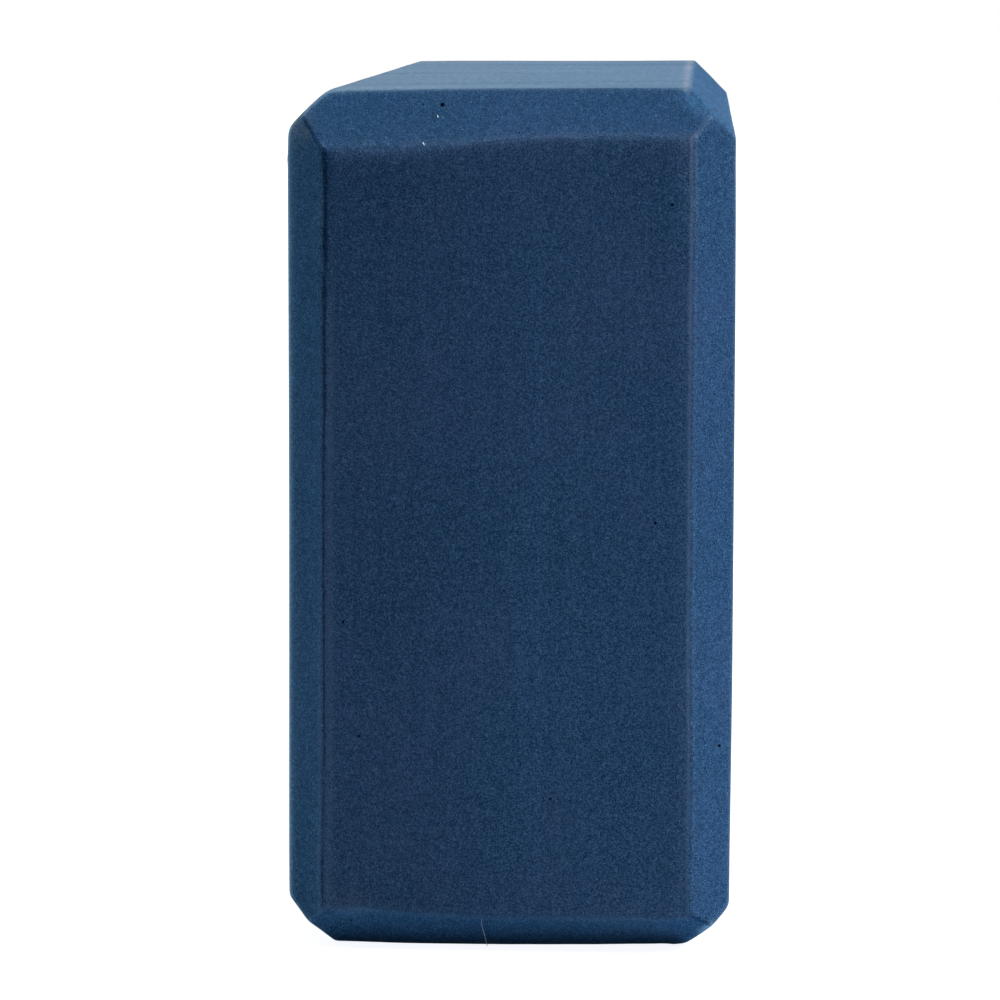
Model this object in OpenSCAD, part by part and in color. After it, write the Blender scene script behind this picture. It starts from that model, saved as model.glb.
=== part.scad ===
// Closed-cell foam block, bevelled along all twelve edges, standing on its long narrow side.
// X runs across the block, Y along its length with the front end at -Y, and Z up.
// The origin is at the middle of the base.

/* [Block] */
// Width, across the narrow way
block_w = 77.5; // [60:0.5:110]
// Length, from the front end to the back end
block_d = 229; // [180:1:260]
// Height, from the base to the top face
block_h = 150; // [120:1:180]

/* [Bevels] */
// Leg of each of the four bevels at the back end, on both its faces
plain_leg = 6.5; // [4:0.1:10]
// Front left upright bevel: leg across the front end
front_left_across = 6.6; // [4:0.1:10]
// Front left upright bevel: leg along the left side
front_left_along = 6; // [4:0.1:10]
// Front right upright bevel: leg across the front end
front_right_across = 7; // [4:0.1:10]
// Front right upright bevel: leg along the right side
front_right_along = 5.4; // [4:0.1:10]
// Front top bevel: leg down the front end, at mid width
front_top_down = 8.7; // [5:0.1:11]
// Front top bevel: leg along the top face, at mid width
front_top_along = 6.1; // [4:0.1:10]
// Front top bevel: how much deeper its left end is cut than mid width, as a share of the legs
front_top_taper = 0.11; // [0:0.01:0.2]
// Front bottom bevel: leg up the front end
front_bottom_up = 7; // [4:0.1:10]
// Front bottom bevel: leg along the base
front_bottom_along = 7.3; // [4:0.1:10]
// Top left long bevel: leg across the top face
top_left_across = 6.6; // [4:0.1:10]
// Top left long bevel: leg down the left side
top_left_down = 6.3; // [4:0.1:10]
// Top right long bevel: leg across the top face
top_right_across = 7.9; // [4:0.1:10]
// Top right long bevel: leg down the right side
top_right_down = 8.2; // [4:0.1:10]
// Base left long bevel: leg across the base
base_left_across = 8.1; // [4:0.1:10]
// Base left long bevel: leg up the left side
base_left_up = 8.4; // [4:0.1:10]
// Base right long bevel: leg across the base
base_right_across = 8.4; // [4:0.1:10]
// Base right long bevel: leg up the right side
base_right_up = 8.1; // [4:0.1:10]

/* [Edges] */
// Radius to which the cut edges and corners have softened
soft_r = 1.1; // [0.4:0.1:2]
// Facets round each softened corner
soft_facets = 32; // [16:4:32]

/* [Score] */
// Depth of the blade score beside the front left bevel, at its top end
score_depth = 0.6; // [0.2:0.05:1]
// Width of the score at its top end
score_w = 1.8; // [0.8:0.1:3]
// Size of the score at its bottom end, as a share of its size at the top end
score_end_share = 0.3; // [0.1:0.05:1]

/* [Colour] */
// Colour of the foam
foam_colour = "#2a4868";

/* [Hidden] */

sides = [-1, 1];
half_w = block_w / 2;
half_d = block_d / 2;
half_h = block_h / 2;

// A plane is [normal of length one, distance from the block's middle].
function plane(normal, distance) = [normal / norm(normal), distance / norm(normal)];

// The same plane, moved inwards by t.
function inset(p, t) = [p[0], p[1] - t];

// The point that three planes share.
function meeting_point(p, q, r) =
    (p[1] * cross(q[0], r[0]) + q[1] * cross(r[0], p[0]) + r[1] * cross(p[0], q[0]))
    / (p[0] * cross(q[0], r[0]));

// The bevel between face a and face b. leg_a is measured from their edge along a, and leg_b along b.
// lean tips the cut along the edge: it's the normal's part in the edge's own direction.
function bevel(a, b, leg_a, leg_b, lean = [0, 0, 0]) =
    plane(leg_a * a[0] + leg_b * b[0] + lean, leg_a * a[1] + leg_b * b[1] - leg_a * leg_b);

// Faces: x is the left or right side, y the front or back end, and z the base or top.
function side_face(x) = plane([x, 0, 0], half_w);
function end_face(y) = plane([0, y, 0], half_d);
function level_face(z) = plane([0, 0, z], half_h);

// Upright bevels, between a side and an end.
function upright_bevel(x, y) =
    y > 0 ? bevel(side_face(x), end_face(y), plain_leg, plain_leg)
    : x < 0 ? bevel(side_face(x), end_face(y), front_left_along, front_left_across)
    : bevel(side_face(x), end_face(y), front_right_along, front_right_across);

// Long bevels, between a side and the base or top.
function long_bevel(x, z) =
    x < 0 && z < 0 ? bevel(side_face(x), level_face(z), base_left_up, base_left_across)
    : z < 0 ? bevel(side_face(x), level_face(z), base_right_up, base_right_across)
    : x < 0 ? bevel(side_face(x), level_face(z), top_left_down, top_left_across)
    : bevel(side_face(x), level_face(z), top_right_down, top_right_across);

// Cross bevels, between an end and the base or top. The front top one runs deeper towards the left.
front_top_lean = [-front_top_taper * front_top_down * front_top_along / half_w, 0, 0];
function cross_bevel(y, z) =
    y > 0 ? bevel(end_face(y), level_face(z), plain_leg, plain_leg)
    : z < 0 ? bevel(end_face(y), level_face(z), front_bottom_up, front_bottom_along)
    : bevel(end_face(y), level_face(z), front_top_down, front_top_along, front_top_lean);

// The four vertices at one corner of the block, of the solid that lies soft_r inside every cut:
// where its three bevels meet, and where each face meets two of them.
function corner_vertices(x, y, z) =
    let (
        side = inset(side_face(x), soft_r),
        end = inset(end_face(y), soft_r),
        level = inset(level_face(z), soft_r),
        upright = inset(upright_bevel(x, y), soft_r),
        long = inset(long_bevel(x, z), soft_r),
        across = inset(cross_bevel(y, z), soft_r)
    )
    [
        meeting_point(upright, long, across),
        meeting_point(side, upright, long),
        meeting_point(end, upright, across),
        meeting_point(level, long, across)
    ];

vertices = [for (x = sides, y = sides, z = sides, v = corner_vertices(x, y, z)) v];

// The cut form, with a ball at each vertex to soften every edge.
module softened_form()
    hull()
        for (v = vertices)
            translate(v)
                sphere(r = soft_r, $fn = soft_facets);

// The score that the blade left in the front end, steep on the bevel's side and shallow on the other.
// It starts in the front top bevel, runs down to the front bottom one and gets finer on the way.
score_x = -half_w + front_left_across;
score_overrun = 2;
score_top = half_h - front_top_down + score_overrun;
score_h = block_h - front_top_down - front_bottom_up + 2 * score_overrun;
score_steep_share = 0.15;

module score()
    translate([score_x, -half_d, score_top])
        mirror([0, 0, 1])
            linear_extrude(height = score_h, scale = score_end_share)
                polygon([
                    [0, -score_depth],
                    [0, 0],
                    [score_steep_share * score_w, score_depth],
                    [score_w, 0],
                    [score_w, -score_depth]
                ]);

// One solid piece of foam.
module foam_block()
    color(foam_colour)
        translate([0, 0, half_h])
            difference() {
                softened_form();
                score();
            }

foam_block();
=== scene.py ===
"""A bevelled closed-cell foam block, standing on its long narrow side on a plain stage."""

import math

import bpy
import numpy as np
from bpy.props import FloatProperty, FloatVectorProperty, IntProperty, PointerProperty
from bpy.types import Operator, Panel, PropertyGroup
from mathutils import Euler, Matrix, Vector


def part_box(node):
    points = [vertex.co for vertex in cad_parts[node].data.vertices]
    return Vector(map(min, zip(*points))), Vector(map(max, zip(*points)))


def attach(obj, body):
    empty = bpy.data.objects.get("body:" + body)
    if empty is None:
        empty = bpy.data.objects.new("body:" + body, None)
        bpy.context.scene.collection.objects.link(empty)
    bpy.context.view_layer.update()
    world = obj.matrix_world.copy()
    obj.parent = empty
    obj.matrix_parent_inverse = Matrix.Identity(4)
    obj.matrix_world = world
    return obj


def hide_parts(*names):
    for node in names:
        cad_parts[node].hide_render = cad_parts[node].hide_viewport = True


bl_info = {
    "name": "Foam Block",
    "version": (1, 0, 0),
    "blender": (4, 5, 0),
    "location": "3D View > Sidebar > Foam Block",
    "description": "Makes a bevelled foam block with soft edges, pinholes and lint, on a plain stage",
    "category": "Object",
}

NODE = "foam_block"
BODY = "root"
MM = 0.001

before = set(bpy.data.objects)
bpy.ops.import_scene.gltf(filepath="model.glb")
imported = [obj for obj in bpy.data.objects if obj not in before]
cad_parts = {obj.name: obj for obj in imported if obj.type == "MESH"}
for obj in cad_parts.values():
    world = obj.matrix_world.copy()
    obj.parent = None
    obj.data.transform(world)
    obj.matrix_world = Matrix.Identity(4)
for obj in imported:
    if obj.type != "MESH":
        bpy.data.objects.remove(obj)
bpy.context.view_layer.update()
LOW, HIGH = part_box(NODE)
MIDDLE = (LOW + HIGH) / 2

# Each face is named with the axis that crosses it and the side that it is on.
FACES = {
    "left": (0, -1), "right": (0, 1), "front": (1, -1), "back": (1, 1), "base": (2, -1), "top": (2, 1),
}


# ---- Sizes and colours ----


def length(name, description, millimetres):
    """A length property, kept in metres."""
    return FloatProperty(
        name=name, description=description, default=millimetres * MM,
        precision=5, unit="LENGTH", subtype="DISTANCE",
    )


def angle(name, description, degrees):
    """An angle property, kept in radians."""
    return FloatProperty(name=name, description=description, default=math.radians(degrees), subtype="ANGLE")


def plain(name, description, default):
    """A plain number that is never less than 0."""
    return FloatProperty(name=name, description=description, default=default, min=0.0)


def colour(name, description, red, green, blue):
    """A colour property, given as the 0 to 255 values that a screen shows."""
    tone = [linear(channel / 255) for channel in (red, green, blue)]
    return FloatVectorProperty(
        name=name, description=description, default=tone, min=0.0, max=1.0, subtype="COLOR",
    )


def linear(channel):
    """A screen value as a linear one, both from 0 to 1."""
    if channel <= 0.04045:
        return channel / 12.92
    return ((channel + 0.055) / 1.055) ** 2.4


class FoamBlockSizes(PropertyGroup):
    """How soft and how straight the block's cut edges are."""

    softness: length("Softness", "How far the edges have softened, about a ninth of their radius", 0.13)
    wander: length("Wander", "How far a bevel strays from its line, over a few centimetres", 0.06)
    nibble: length("Nibble", "How far a bevel strays from its line, over a millimetre or two", 0.03)
    blade_ragged: length("Ragged cut", "How far the blade's cuts stray from side to side", 0.05)


class FoamBlockPits(PropertyGroup):
    """The pinholes that the gas left in the foam."""

    per_square_metre: plain("Pinholes per square metre", "How many a square metre of the surface has", 2600)
    smallest: length("Smallest", "Width of the smallest pinhole", 0.16)
    largest: length("Largest", "Width of the largest pinhole", 0.4)
    seed: IntProperty(name="Seed", description="Seed of the pinholes' places", default=7)


class FoamBlockColours(PropertyGroup):
    """The colours of the foam, its worn edges, the sheen painted on its edges and its top, and the lint on
    it.
    """

    dark_cells: colour("Dark cells", "The colour of the foam's darkest cells", 5, 34, 67)
    light_cells: colour("Light cells", "The colour of the foam's lightest cells", 73, 104, 135)
    violet: colour("Violet", "The colour that duller patches lean to", 60, 68, 104)
    worn: colour("Worn", "The colour of rubbed edges", 96, 112, 140)
    # Painted sheen: the pale light that the edges along the sides catch, painted into their colour.
    rim_sheen: colour("Rim", "The colour of the rubbed edges along the sides", 128, 160, 192)
    # Painted sheen: the pale reflection that the top shows to a low view, painted into its colour.
    top_sheen: colour("Bloom", "The colour of the dust on the top", 190, 222, 236)
    # Painted sheen: the greyer light on the upper left corner, painted into its colour.
    greyed: colour("Greyed", "The colour of the patches that handling has greyed", 158, 162, 166)
    rubbed_top: colour("Rubbed top", "The colour of the rubbed band at the top's right end", 232, 204, 198)
    lint: colour("Lint", "The colour of lint", 228, 234, 242)


class FoamBlockStudio(PropertyGroup):
    """The camera, the lights and the floor."""

    lens: plain("Lens", "Focal length of the camera, in millimetres", 140)
    eye: FloatVectorProperty(
        name="Eye", description="Place of the camera", default=(0.0334, -0.7766, 0.171),
        unit="LENGTH", subtype="TRANSLATION",
    )
    pitch: angle("Pitch", "How far the camera looks down", 7.81)
    yaw: angle("Yaw", "How far the camera looks to the left", 3.01)
    roll: angle("Roll", "How far the camera leans", 0.08)
    key: plain("Key", "Strength of the key light, in watts a square metre", 4.8)
    key_softness: angle("Key softness", "How wide the key light looks from the block", 35)
    fill: plain("Fill", "Strength of the light from all round", 0.08)
    back_fill: plain("Back fill", "Strength of the light added from behind", 1.58)


# ---- The block's form ----


# How far each face has settled inwards, or stands proud where less than 0: places along it, with the
# depth there at its front end and at its back end. All are in millimetres.
SETTLING = {
    "left": (2, [
        (0, -0.22, -0.2), (17, -0.22, -0.2), (47, -0.06, 0.0), (78, 0.11, 0.1),
        (110, 0.19, 0.2), (131, 0.22, 0.2), (150, 0.23, 0.2),
    ]),
    "right": (2, [
        (0, 0.08, 0.1), (17, 0.08, 0.1), (30, 0.0, 0.0), (47, -0.1, -0.1), (78, -0.07, -0.1),
        (110, -0.04, 0.0), (128, 0.03, 0.3), (138, 0.13, 0.6), (150, 0.16, 0.78),
    ]),
    "top": (0, [
        (-38, 0.1, 0.3), (-30, 0.06, 0.22), (-22, -0.12, 0.12), (-12, -0.3, 0.1),
        (3, -0.44, 0.1), (17, -0.52, 0.04), (38, -0.6, -0.14),
    ]),
}

# The bevels, by the two faces that each one joins: places along it from the low end of its axis,
# with its leg on the first face and on the second there. All are in millimetres.
BEVELS = {
    ("front", "left"): [(0, 6.45, 6.0), (150, 6.65, 6.2)],
    ("front", "right"): [
        (0, 6.83, 5.3), (24, 6.88, 5.3), (55, 7.34, 5.35), (96, 7.38, 5.4), (131, 7.16, 5.4),
    ],
    ("front", "top"): [
        (-38, 10.0, 6.4), (-28, 10.2, 6.3), (-23, 10.22, 6.2), (-17.5, 10.12, 6.2), (-12, 9.87, 6.1),
        (-6, 9.35, 6.1), (0, 8.85, 6.0), (8, 8.45, 5.9), (17, 8.42, 5.8), (26, 8.52, 5.7), (38, 8.48, 5.5),
    ],
    ("front", "base"): [
        (-38, 7.0, 7.3), (-26, 7.9, 6.6), (-18, 7.2, 5.9), (-4, 6.6, 6.1),
        (16, 6.7, 6.9), (27, 6.5, 8.1), (31, 6.9, 8.1), (33, 7.3, 8.0), (38, 7.3, 7.8),
    ],
    ("left", "top"): [(-114, 6.4, 6.7), (114, 6.45, 7.0)],
    ("right", "top"): [
        (-114, 8.35, 7.72), (-40, 8.0, 7.7), (20, 7.73, 7.55), (60, 7.55, 7.33), (114, 7.3, 7.15),
    ],
    ("left", "base"): [(-114, 8.3, 8.0), (114, 8.0, 7.7)],
    ("right", "base"): [(-114, 7.58, 7.52), (-60, 7.7, 7.7), (114, 7.9, 8.0)],
    ("back", "left"): [(0, 7.2, 7.1), (150, 7.3, 7.2)],
    ("back", "right"): [(0, 6.4, 6.4), (150, 6.5, 6.3)],
    ("back", "top"): [(-38, 6.2, 5.8), (38, 6.0, 5.6)],
    ("back", "base"): [(-38, 6.6, 6.4), (38, 6.5, 6.5)],
}

# The narrow facets that ease two of the front's edges: the face and the bevel that each lies between,
# and places along it, with how far it reaches onto each of them there. All are in millimetres.
EASED_EDGES = {
    "eased_top": ("front", ("front", "top"), [
        (-23, 0.6), (-17, 0.5), (-11, 0.4), (-5, 0.32), (1, 0.27), (9, 0.26), (18, 0.36), (38, 0.42),
    ]),
    "eased_right": ("front", ("front", "right"), [(0, 0.5), (24, 0.5), (60, 0.43), (100, 0.45), (131, 0.42)]),
}

# How much crisper the eased edges are than the others, as a share, and how far that reaches.
CRISPNESS = 0.72
CRISP_REACH = 0.6 * MM

# The softness added to the edges at each x, in millimetres.
SOFT_ACROSS = [(-37.5, 0.07), (-34.5, 0.0), (33.5, 0.0), (36.5, -0.06)]

# Places where the edges are rounder than elsewhere, from handling, or crisper: x, y and z, the reach,
# and the softness added, in millimetres.
SOFT_SPOTS = [
    (-33.5, -108.5, 148.5, 4, 0.15), (-30, -108.5, 149.5, 9, 0.18), (-16, -108.5, 149.5, 9, 0.12),
    (6, -108.5, 150, 7, -0.06), (20, -108.5, 150, 9, -0.06), (36.5, -111, 144.3, 3, 0.2),
    (-38, -108.5, 143, 4, 0.2), (-36, -110.5, 3.5, 5, 0.1), (31.5, -107.5, 0.3, 3.5, 0.16),
    (35.3, -111.3, 4.8, 2.5, 0.12), (38.7, -109, 7.8, 3, 0.22), (18, -107.5, 0, 9, 0.1),
]
# No edge is crisper than this.
LEAST_SOFTNESS = 0.03 * MM

# The dent that the score left in the front: height, x, and depth there, with how far it reaches to
# the left and to the right. All are in millimetres.
SCORE_DENT = [
    (7, -32.45, 0.0), (24, -32.3, 0.02), (34, -31.95, 0.05), (83, -31.8, 0.08),
    (111, -31.4, 0.16), (139, -31.3, 0.2), (141, -31.3, 0.1), (143, -31.3, 0.0),
]
SCORE_DENT_REACH = (0.6, 1.7)

# The ridge that handling has rounded most: the bevels that meet there, and the middle, the reach and
# the softness of the round, in millimetres.
WORN_RIDGE = (("front", "top"), ("right", "top"))
WORN_RIDGE_ROUND = (32.2, -109.5, 148.6, 5, 1.7)

# How far apart the turns of a bevel's wandering line and of its nibbled one are, the first seed of the
# nibbled ones, and the knots of a line.
WANDER_STEP = 19 * MM
NIBBLE_STEP = 1.3 * MM
NIBBLE_SEED = 50
KNOTS = 1024


def along_stops(places, stops, unit=MM):
    """The columns of the stops after the first, at each of the places that their first column gives."""
    first, *columns = np.array(stops, float).T * unit
    return [np.interp(places, first, column) for column in columns]


def bell(distance, reach):
    """1 where the distance is 0, and less and less further off."""
    return np.exp(-((distance / reach) ** 2))


def near(points, spot):
    """How near the points are to a spot, from 0 to 1: its x, y, z and reach are in millimetres."""
    return bell(np.linalg.norm(points - np.array(spot[:3]) * MM, axis=1), spot[3] * MM)


def face_distance(points, face):
    """How far the points lie outside a settled face; less than 0 is inside."""
    axis, side = FACES[face]
    distance = side * (points[:, axis] - (HIGH[axis] if side > 0 else LOW[axis]))
    if face in SETTLING:
        along, stops = SETTLING[face]
        at_front, at_back = along_stops(points[:, along], stops)
        frontness = (HIGH.y - points[:, 1]) / (HIGH.y - LOW.y)
        distance = distance + frontness * at_front + (1 - frontness) * at_back
    if face == "front":
        distance = distance + score_dent(points)
    return distance


def score_dent(points):
    """How far the front is pressed in along the score, beyond the cut itself."""
    centre, depth = along_stops(points[:, 2], SCORE_DENT)
    beside = (points[:, 0] - centre) / MM
    return depth * bell(beside, np.where(beside > 0, SCORE_DENT_REACH[1], SCORE_DENT_REACH[0]))


def wave(steps, seed):
    """A smooth random line from -1 to 1, with one knot at each whole step."""
    knots = np.random.default_rng(seed).uniform(-1.0, 1.0, KNOTS)
    whole = np.floor(steps).astype(int)
    part = steps - whole
    part = part * part * (3 - 2 * part)
    return knots[whole % KNOTS] * (1 - part) + knots[(whole + 1) % KNOTS] * part


def cut_distances(points, sizes):
    """The points' distances outside each face, bevel and eased facet, by name."""
    cuts = {name: face_distance(points, name) for name in FACES}
    for number, ((a, b), stops) in enumerate(BEVELS.items()):
        along = points[:, 3 - FACES[a][0] - FACES[b][0]]
        stray = sizes.wander * wave(along / WANDER_STEP, number)
        stray = stray + sizes.nibble * wave(along / NIBBLE_STEP, number + NIBBLE_SEED)
        leg_a, leg_b = (leg + stray for leg in along_stops(along, stops))
        cuts[a, b] = (leg_a * cuts[a] + leg_b * cuts[b] + leg_a * leg_b) / np.hypot(leg_a, leg_b)
    for name, (face, bevel, stops) in EASED_EDGES.items():
        along = points[:, 3 - FACES[bevel[0]][0] - FACES[bevel[1]][0]]
        _, legs_a, legs_b = np.mean(BEVELS[bevel], axis=0)
        half_turn = math.atan2(legs_b, legs_a) / 2
        reach = along_stops(along, stops)[0] * math.sin(half_turn)
        cuts[name] = (cuts[face] + cuts[bevel]) / (2 * math.cos(half_turn)) + reach
    return cuts


def soft_maximum(rows, softness):
    """The largest of the rows, rounded where two come near to each other."""
    top = np.max(rows, axis=0)
    return top + softness * np.log(sum(np.exp((row - top) / softness) for row in rows))


def softness_at(points, cuts, sizes):
    """How soft the edges are at each point."""
    softness = sizes.softness + along_stops(points[:, 0], SOFT_ACROSS)[0]
    for *spot, added in SOFT_SPOTS:
        softness = softness + added * MM * near(points, spot)
    for face, bevel, _ in EASED_EDGES.values():
        softness = softness * (1 - CRISPNESS * bell(cuts[face] - cuts[bevel], CRISP_REACH))
    return np.maximum(softness, LEAST_SOFTNESS)


def form_distance(points, sizes):
    """How far the points lie outside the form: outside its cuts, with the edges between them rounded."""
    cuts = cut_distances(points, sizes)
    softness = softness_at(points, cuts, sizes)
    *spot, added = WORN_RIDGE_ROUND
    ridge = [cuts.pop(name) for name in WORN_RIDGE]
    ridge = soft_maximum(ridge, softness + added * MM * near(points, spot))
    return soft_maximum([*cuts.values(), ridge], softness)


# ---- The block's mesh ----


# How far in from the block's box the rays start that find its surface, and how far out they end.
CORE_INSET = 9.6 * MM
RAY_OUTSET = 1.0 * MM
RAY_HALVINGS = 32
# The number of places at which the grid's spacing is worked out.
GRID_SAMPLES = 4001

# The mesh's grid: places across each axis, in millimetres, with the grid's step there.
GRID_X = [
    (-38.75, 0.42), (-33.5, 0.35), (-33.2, 0.25), (-30.5, 0.25), (-27, 0.7), (-20, 1.7),
    (20, 1.7), (27, 0.8), (30, 0.25), (32.5, 0.22), (33.5, 0.4), (38.75, 0.42),
]
GRID_Y = [
    (-114.5, 0.42), (-108, 0.4), (-104, 0.9), (-95, 2.2), (-80, 4.2),
    (80, 4.2), (98, 2.0), (106, 0.7), (110, 0.6), (114.5, 0.7),
]
GRID_Z = [
    (0, 0.42), (8.5, 0.42), (12, 0.9), (25, 2.1),
    (122, 2.1), (134, 0.9), (139, 0.28), (143, 0.28), (145, 0.38), (150, 0.42),
]


def grid_lines(stops, low, high):
    """Grid lines from low to high, spaced as the stops say."""
    fine = np.linspace(low, high, GRID_SAMPLES)
    per_metre = 1 / along_stops(fine, stops)[0]
    count = np.concatenate([[0.0], np.cumsum((per_metre[1:] + per_metre[:-1]) / 2 * np.diff(fine))])
    wanted = np.linspace(0.0, count[-1], int(round(count[-1])) + 1)
    return np.interp(wanted, count, fine)


def new_mesh(name, vertices, faces=()):
    """A mesh of vertices and faces."""
    mesh = bpy.data.meshes.new(name)
    mesh.from_pydata(vertices, [], faces)
    return mesh


def box_grid(lines):
    """The vertices and quads of a box, divided at the given lines across each axis."""
    sheets = []
    for axis in range(3):
        across, up = (axis + 1) % 3, (axis + 2) % 3
        for end in (0, len(lines[axis]) - 1):
            first, second = np.meshgrid(
                np.arange(len(lines[across])), np.arange(len(lines[up])), indexing="ij"
            )
            index = np.empty(first.shape + (3,), int)
            index[..., axis] = end
            index[..., across] = first
            index[..., up] = second
            corners = [index[:-1, :-1], index[1:, :-1], index[1:, 1:], index[:-1, 1:]]
            if end == 0:
                corners.reverse()
            sheets.append(np.stack(corners, axis=2).reshape(-1, 3))
    places, quads = np.unique(np.concatenate(sheets), axis=0, return_inverse=True)
    vertices = np.stack([lines[axis][places[:, axis]] for axis in range(3)], axis=1)
    return vertices, quads.reshape(-1, 4)


def pull_to_surface(vertices, sizes):
    """Moves the box's vertices inwards, along rays from a core box, to the finished surface."""
    core = np.clip(vertices, np.array(LOW) + CORE_INSET, np.array(HIGH) - CORE_INSET)
    inner = np.zeros(len(vertices))
    outer = np.ones(len(vertices))
    for _ in range(RAY_HALVINGS):
        middle = (inner + outer) / 2
        outside = form_distance(core + middle[:, None] * (vertices - core), sizes) > 0
        outer = np.where(outside, middle, outer)
        inner = np.where(outside, inner, middle)
    return core + inner[:, None] * (vertices - core)


def block_mesh(sizes):
    """The softened and bevelled block, before it is marked and cut."""
    lines = [
        grid_lines(stops, LOW[axis] - RAY_OUTSET, HIGH[axis] + RAY_OUTSET)
        for axis, stops in enumerate((GRID_X, GRID_Y, GRID_Z))
    ]
    vertices, quads = box_grid(lines)
    return new_mesh("foam_block_surface", pull_to_surface(vertices, sizes).tolist(), quads.tolist())


def set_mark(mesh, name, values):
    """Stores a number or a vector for each vertex under a name that a material can read."""
    kind, key = ("FLOAT", "value") if values.ndim == 1 else ("FLOAT_VECTOR", "vector")
    attribute = mesh.attributes.new(name, kind, "POINT")
    attribute.data.foreach_set(key, values.astype(np.float32).ravel())


# Painted light and shade on each face: how far its colour stands from the foam's own, as factors for red,
# green and blue.
FACE_TINTS = {
    "front": (1.11, 0.985, 0.935),
    "top": (1.0, 0.98, 0.93),
    ("front", "left"): (0.94, 1.01, 0.93),
    ("front", "right"): (1.03, 1.025, 1.03),
    ("front", "top"): (1.0, 1.06, 1.05),
    ("front", "base"): (1.15, 1.3, 1.28),
    ("right", "top"): (0.82, 0.96, 0.93),
    "eased_top": (1.95, 1.36, 1.2),
    "eased_right": (1.1, 1.05, 1.02),
}
# How much redder, greener and bluer some of the block's sides are at each x, in millimetres; one number
# stands for all three. On the front this is painted light, weaker towards the left.
TINTS_ACROSS = {
    "front": [
        (-32, -0.15), (-20, -0.16), (-8, -0.08), (3.6, 0.01), (4.6, 0.07), (5.8, 0.07), (6.8, 0.015),
        (32, 0.075),
    ],
    "top": [(-38, 0.1, 0.04, 0.0), (38, -0.1, -0.045, 0.0)],
}
# The painted highlights and painted shade along the edges, as lines that are paler or darker: the two faces,
# bevels or facets that meet at each; the axis that it runs along, and places on that axis, with how far the
# line lies onto the first of the two there and how strong it is; its width; and its change in red, green and
# blue. Lengths are in millimetres.
SHADED_LINES = [
    (("front", "left"), ("front", "top"), 0, [(0, 0.0, 1.0)], 0.25, (-0.6, -0.45, -0.35)),
    (
        ("front", "top"), "eased_top", 0,
        [(-30, 0.27, 1.0), (-18, 0.24, 1.0), (-8, 0.16, 1.0), (9, 0.15, 1.0), (24, 0.12, 0.7)],
        0.12, (0.24, 0.13, 0.07),
    ),
    (("front", "top"), "eased_top", 0, [(-18, 0.0, 1.0), (-9, 0.0, 0.0)], 0.06, (-0.14, -0.11, -0.09)),
    (
        ("front", "right"), "eased_right", 2,
        [(10, 0.06, 0.4), (40, 0.06, 1.0), (124, 0.06, 1.0), (134, 0.03, 1.7)],
        0.09, (0.4, 0.2, 0.12),
    ),
    (
        "front", "eased_right", 2,
        [(5, 0.35, 2.2), (30, 0.35, 1.4), (60, 0.3, 0.8), (124, 0.3, 0.8), (134, 0.3, 2.8)],
        0.35, (0.17, 0.09, 0.06),
    ),
    (("front", "right"), ("front", "base"), 0, [(0, 0.0, 1.0)], 0.2, (-0.6, -0.45, -0.35)),
    ("top", ("back", "top"), 0, [(0, 0.0, 1.0)], 11.0, (0.33, 0.12, 0.04)),
]
# The worn lines, given in the same way but for their last column: how worn each one is comes first in
# place of its strength.
WORN_LINES = [
    ("front", "eased_right", 2, [(10, 0.0, 0.25), (40, 0.0, 0.8), (100, 0.0, 0.8), (128, 0.0, 1.25)], 0.09),
    (("front", "top"), ("front", "right"), 0, [(0, 0.15, 0.8)], 0.34),
    (("right", "top"), ("front", "right"), 1, [(0, 0.0, 0.3)], 0.3),
    ("front", ("front", "base"), 0, [(0, -0.25, 0.32)], 0.6),
    (("front", "left"), ("front", "base"), 0, [(0, 0.0, 0.5)], 0.25),
    ("base", ("front", "base"), 0, [(0, 0.0, 0.2)], 0.3),
    ("top", ("front", "top"), 0, [(0, 0.0, 0.15)], 0.3),
]
# The worn patches: x, y and z, and the reach of each, in millimetres, and how worn it is.
WORN_SPOTS = [
    (-27.5, -114, 8.2, 3.8, 0.35), (22, -113, 5.2, 6, 0.15), (-32.7, -114.1, 130.0, 0.8, 0.35),
    (-32.7, -114.1, 128.6, 0.8, 0.35),
]
# Painted shade in the hollows: x, y and z, and the reach of each, in millimetres, and how dark it is.
DARK_SPOTS = [
    (-31.2, -114.4, 139.4, 0.9, 0.45), (-31.2, -114.4, 137.6, 0.8, 0.25),
    (-32.2, -113.9, 7.0, 0.6, 0.2), (-31.3, -113.9, 7.0, 0.6, 0.3), (-30.6, -113.9, 6.9, 0.5, 0.25),
]
# How strong the painted sheen on the edges along each side is, at the block's front and further back, and how
# far that reaches, in millimetres.
RIM_SHEENS = {
    "left": (1.5, 0.35, 0.4), "right": (0.3, 0.3, 0.26), "back": (0.5, 0.3, 0.26), "base": (0.6, 0.3, 0.26),
}
# The places on y between which the rims go from the front's amount to the one further back.
RIM_PLACES = (-107.0 * MM, -100.0 * MM)
# How strong the painted sheen on the ridges that end at the sides is.
RIM_RIDGES = {
    (("front", "top"), ("left", "top")): 1.0,
    (("front", "left"), ("left", "top")): 0.8,
    (("front", "base"), ("right", "base")): 0.9,
    (("front", "right"), ("right", "base")): 0.6,
    (("front", "left"), ("left", "base")): 0.9,
    (("front", "base"), ("left", "base")): 0.8,
}
RIM_REACH = 0.3 * MM
# Paler spots on the ridges by the lower right corner, added to the painted sheen: x, y and z, and the reach
# of each, in millimetres, and how pale it is.
PALER_RIDGE_SPOTS = [
    (34.6, -111.0, 4.2, 0.9, 0.7), (33.8, -110.6, 3.2, 0.9, 0.6), (35.3, -111.4, 5.0, 0.7, 0.5),
]
# How far from an edge the two sides' looks run into each other.
EDGE_REACH = 0.2 * MM
# Edges that turn more sharply than this are shaded as hard ones.
SHARP_TURN = math.radians(38)
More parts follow.
